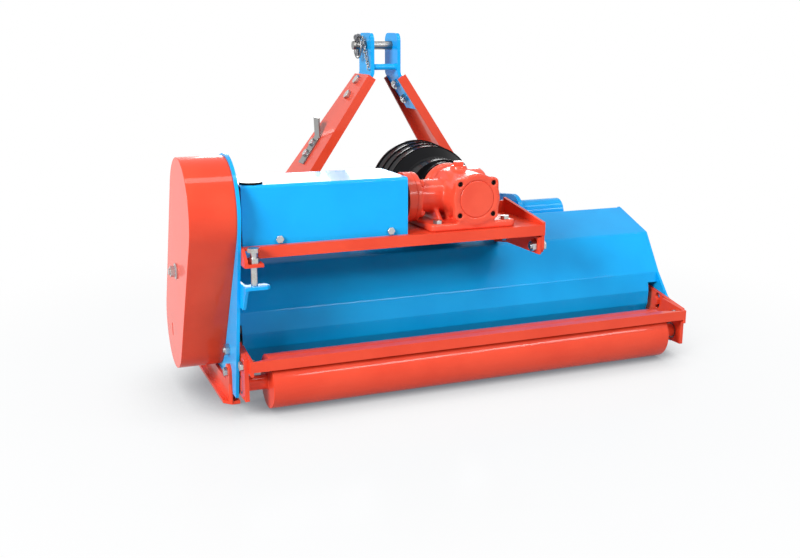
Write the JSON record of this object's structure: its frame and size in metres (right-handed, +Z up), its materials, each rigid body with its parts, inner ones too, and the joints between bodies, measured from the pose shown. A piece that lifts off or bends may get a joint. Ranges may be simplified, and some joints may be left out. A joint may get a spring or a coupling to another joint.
{
  "type": "flail mower",
  "caption": "Tractor-mounted flail mower with hooded rotor, side belt drive under a guard, angle gearbox, three-point hitch, skids and an adjustable rear roller.",
  "frame": {"origin": "middle of the bounding box on the ground, under the machine", "axes": "+X across the machine to the right seen from behind, +Y forward to the tractor, +Z up"},
  "size_m": [1.108, 0.692, 0.686],
  "materials": {
    "orange_paint": "gloss paint on steel",
    "orange_casting": "gloss paint on cast iron",
    "blue_paint": "gloss paint on steel",
    "zinc": "bright zinc plate",
    "steel": "plain turned or forged steel",
    "black_plastic": "satin black plastic",
    "rubber": "matt belt rubber"
  },
  "bodies": {
    "chassis": {"left_side_plate": "blue_paint", "right_side_plate": "blue_paint", "hood": "blue_paint", "frame_support": "blue_paint", "cross_tube": "blue_paint", "left_hitch_arm": "blue_paint", "right_hitch_arm": "blue_paint", "lower_link_pins": "steel", "left_upright": "orange_paint", "right_upright": "orange_paint", "left_top_plate": "blue_paint", "right_top_plate": "blue_paint", "spacer_tube": "blue_paint", "top_link_pin": "zinc", "linchpin": "steel", "linchpin_chain": "zinc", "shaft_holder": "zinc", "hitch_bolts": "zinc", "belt_guard": "orange_paint", "guard_stud": "zinc", "guard_nut": "zinc", "tension_bracket": "blue_paint", "tension_bolt": "zinc", "rotor_bearings": "steel", "plate_bolts": "zinc", "left_skid": "orange_paint", "right_skid": "orange_paint", "flap_rod": "steel", "v_belts": "rubber", "arm_bolts": "zinc"},
    "drive_unit": {"drive_frame": "orange_paint", "frame_bolts": "zinc", "tension_locknut": "zinc", "outboard_bearing": "steel", "shaft_cover": "blue_paint", "cover_bolts": "zinc", "cover_plug": "black_plastic", "gearbox_housing": "orange_casting", "gearbox_cover": "orange_casting", "output_flange": "orange_casting", "filler_plug": "zinc", "gearbox_bolts": "zinc", "input_guard": "black_plastic"},
    "drive_line": {"upper_pulley": "steel", "drive_shaft": "steel"},
    "input": {"input_shaft": "steel"},
    "rotor_body": {"rotor": "steel", "lower_pulley": "steel", "flail_bolts": "zinc"},
    "flail_row_a": {"flails_a": "steel"},
    "flail_row_b": {"flails_b": "steel"},
    "flail_row_c": {"flails_c": "steel"},
    "roller_frame": {"left_roller_arm": "orange_paint", "right_roller_arm": "orange_paint", "roller_bar": "orange_paint", "roller_bearings": "steel", "bar_bolts": "zinc"},
    "roller_body": {"roller": "orange_paint"},
    "pin_ring": {"linchpin_ring": "zinc"},
    "flaps": {"front_flaps": "blue_paint"}
  },
  "joints": [
    {"name": "belt_tension", "type": "slide", "parent": "chassis", "child": "drive_unit", "axis": [0, 0, 1], "range_m": [0, 0.008], "deforming": ["v_belts"]},
    {"name": "drive_shaft_spin", "type": "hinge", "parent": "drive_unit", "child": "drive_line", "pos_m": [-0.265, -0.235, 0.376], "axis": [1, 0, 0], "continuous": true},
    {"name": "input_spin", "type": "hinge", "parent": "drive_unit", "child": "input", "pos_m": [0.011, -0.13, 0.376], "axis": [0, 1, 0], "continuous": true},
    {"name": "rotor_spin", "type": "hinge", "parent": "chassis", "child": "rotor_body", "pos_m": [0.035, -0.09, 0.131], "axis": [1, 0, 0], "continuous": true},
    {"name": "flail_row_a_swing", "type": "hinge", "parent": "rotor_body", "child": "flail_row_a", "pos_m": [0.035, -0.09, 0.081], "axis": [1, 0, 0], "range_deg": [-120, 120]},
    {"name": "flail_row_b_swing", "type": "hinge", "parent": "rotor_body", "child": "flail_row_b", "pos_m": [0.035, -0.0467, 0.156], "axis": [1, 0, 0], "range_deg": [0, 240]},
    {"name": "flail_row_c_swing", "type": "hinge", "parent": "rotor_body", "child": "flail_row_c", "pos_m": [0.035, -0.1333, 0.156], "axis": [1, 0, 0], "range_deg": [-240, 0]},
    {"name": "roller_height", "type": "hinge", "parent": "chassis", "child": "roller_frame", "pos_m": [0.035, -0.165, 0.105], "axis": [1, 0, 0], "range_deg": [-8, 10]},
    {"name": "roller_spin", "type": "hinge", "parent": "roller_frame", "child": "roller_body", "pos_m": [0.035, -0.27, 0.051], "axis": [1, 0, 0], "continuous": true},
    {"name": "linchpin_ring_swing", "type": "hinge", "parent": "chassis", "child": "pin_ring", "pos_m": [-0.043, 0.207, 0.6758], "axis": [0, 1, 0], "range_deg": [0, 170]},
    {"name": "front_flap_swing", "type": "hinge", "parent": "chassis", "child": "flaps", "pos_m": [0.035, 0.072, 0.196], "axis": [1, 0, 0], "range_deg": [-12, 55]}
  ],
  "couplings": [
    {"joint": "drive_shaft_spin", "follows": "rotor_spin", "ratio": 0.63871},
    {"joint": "input_spin", "follows": "rotor_spin", "ratio": 0.2129}
  ]
}
